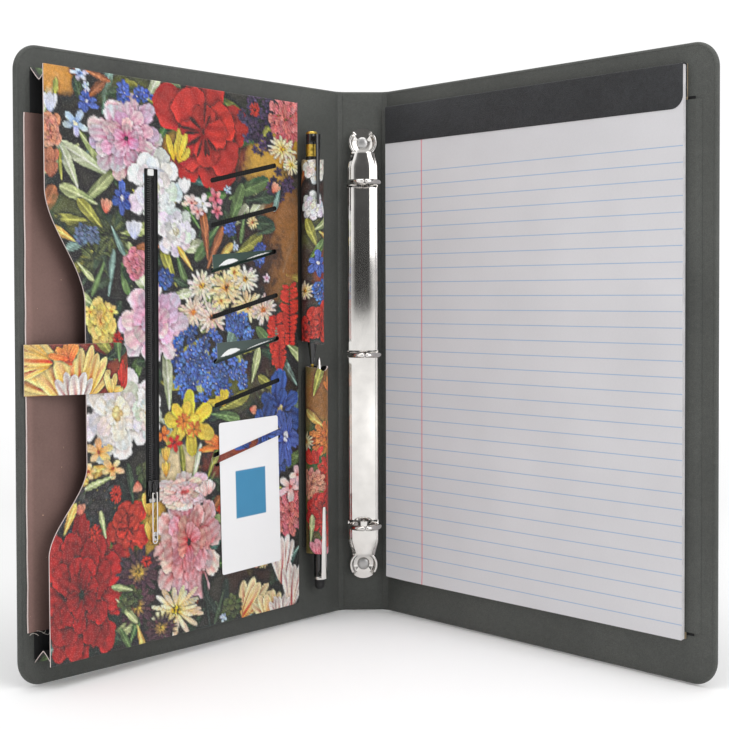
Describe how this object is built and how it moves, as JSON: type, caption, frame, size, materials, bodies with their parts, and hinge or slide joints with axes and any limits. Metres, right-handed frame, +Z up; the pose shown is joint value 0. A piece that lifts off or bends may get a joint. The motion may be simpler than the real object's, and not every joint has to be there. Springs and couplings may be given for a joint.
{
  "type": "portfolio case",
  "caption": "Ring-binder portfolio case with floral document pocket, zip pocket, card slots, pen loops, a closing tab and a ruled pad held in a sleeve.",
  "frame": {"origin": "middle of the spine's lower edge at the lining face's foot, on the surface the case stands on", "axes": "+Z up along the spine, +X towards the right cover, -Y towards the reader, out of the open case"},
  "size_m": [0.3613, 0.1837, 0.332],
  "materials": {
    "lining": "matte charcoal leatherette",
    "skin": "matte charcoal leatherette",
    "board": "grey board",
    "floral": "satin floral print on pebbled leatherette",
    "insert": "matte",
    "black_fabric": "ribbed",
    "chrome": "polished",
    "steel": "satin",
    "zip_black": "woven tape",
    "zip_coil": "moulded coil",
    "white_plastic": "satin",
    "pen_black": "gloss",
    "gold": "polished",
    "stylus_rubber": "matte",
    "card_white": "smooth",
    "card_green": "smooth",
    "paper": "ruled",
    "backing": "matte",
    "binding": "cloth-textured strip"
  },
  "bodies": {
    "spine": {"spine_board": "board", "spine_skin": "skin", "spine_lining": "lining", "left_hinge_strip": "lining", "right_hinge_strip": "lining", "ring_housing": "chrome", "housing_rivets": "steel"},
    "ring_left": {"ring_blade_left": "steel", "half_ring_left_low": "chrome", "half_ring_left_mid": "chrome", "half_ring_left_top": "chrome"},
    "ring_right": {"ring_blade_right": "steel", "half_ring_right_low": "chrome", "half_ring_right_mid": "chrome", "half_ring_right_top": "chrome"},
    "left_cover": {"left_board": "board", "left_skin": "skin", "left_lining": "lining", "tab_base": "floral", "document_sheet": "insert", "pen_loop_upper": "floral", "pen_loop_lower": "floral", "gusset_top": "floral", "gusset_bottom": "floral"},
    "pocket": {"pocket_front": "floral", "card_strap": "floral", "card_backing": "black_fabric", "slot_card_upper": "card_green", "slot_card_lower": "card_green", "zip_tape": "zip_black", "zip_teeth": "zip_coil", "zip_stops": "white_plastic", "zip_pouch": "black_fabric", "panel_magnet": "steel"},
    "slider": {"zip_slider": "zip_coil"},
    "puller": {"zip_puller": "chrome"},
    "tab": {"closing_tab": "floral", "tab_magnet": "steel"},
    "calling_card": {"business_card": "card_white"},
    "upper_pen": {"pen_barrel": "pen_black", "pen_gold_trim": "gold", "pen_cap": "pen_black", "pen_clip": "pen_black", "pen_tip": "gold"},
    "lower_pen": {"stylus_barrel": "pen_black", "stylus_nose": "chrome", "stylus_ring": "chrome", "stylus_clip": "chrome", "stylus_tip": "stylus_rubber"},
    "right_cover": {"right_board": "board", "right_skin": "skin", "right_lining": "lining", "pad_sleeve": "lining"},
    "pad": {"pad_backing": "backing", "pad_sheets": "paper", "pad_top_sheet": "paper", "pad_binding": "binding"}
  },
  "joints": [
    {"name": "left_cover_hinge", "type": "hinge", "parent": "spine", "child": "left_cover", "pos_m": [-0.01264, -0.0046, 0.166], "axis": [0, 0, 1], "range_deg": [-44.1, 44.9], "deforming": ["left_hinge_strip"]},
    {"name": "right_cover_hinge", "type": "hinge", "parent": "spine", "child": "right_cover", "pos_m": [0.01241, -0.0046, 0.166], "axis": [0, 0, -1], "range_deg": [-48.9, 40.1], "deforming": ["right_hinge_strip"]},
    {"name": "pocket_gusset", "type": "hinge", "parent": "left_cover", "child": "pocket", "pos_m": [-0.04197, -0.02913, 0.166], "axis": [0, 0, 1], "range_deg": [-1.5, 0], "deforming": ["gusset_top", "gusset_bottom"]},
    {"name": "tab_hinge", "type": "hinge", "parent": "left_cover", "child": "tab", "pos_m": [-0.18225, -0.16472, 0.16425], "axis": [0, 0, -1], "range_deg": [0, 150]},
    {"name": "zip_slide", "type": "slide", "parent": "pocket", "child": "slider", "axis": [0, 0, 1], "range_m": [0, 0.165]},
    {"name": "puller_swing", "type": "hinge", "parent": "slider", "child": "puller", "pos_m": [-0.12057, -0.11827, 0.0941], "axis": [-0.6801, -0.7331, 0], "range_deg": [0, 170]},
    {"name": "card_slide", "type": "slide", "parent": "pocket", "child": "calling_card", "axis": [-0.0178, -0.0192, 0.9997], "range_m": [0, 0.085]},
    {"name": "upper_pen_slide", "type": "slide", "parent": "left_cover", "child": "upper_pen", "axis": [0, 0, 1], "range_m": [0, 0.13]},
    {"name": "lower_pen_slide", "type": "slide", "parent": "left_cover", "child": "lower_pen", "axis": [0, 0, -1], "range_m": [0, 0.12]},
    {"name": "ring_left_open", "type": "hinge", "parent": "spine", "child": "ring_left", "pos_m": [-0.0074, -0.0022, 0.165], "axis": [0, 0, -1], "range_deg": [0, 19], "deforming": ["pen_loop_lower"]},
    {"name": "ring_right_open", "type": "hinge", "parent": "spine", "child": "ring_right", "pos_m": [0.0074, -0.0022, 0.165], "axis": [0, 0, 1], "range_deg": [0, 19]},
    {"name": "pad_slide", "type": "slide", "parent": "right_cover", "child": "pad", "axis": [0, 0, 1], "range_m": [0, 0.28]}
  ],
  "couplings": [
    {"joint": "ring_right_open", "follows": "ring_left_open", "ratio": 1}
  ]
}
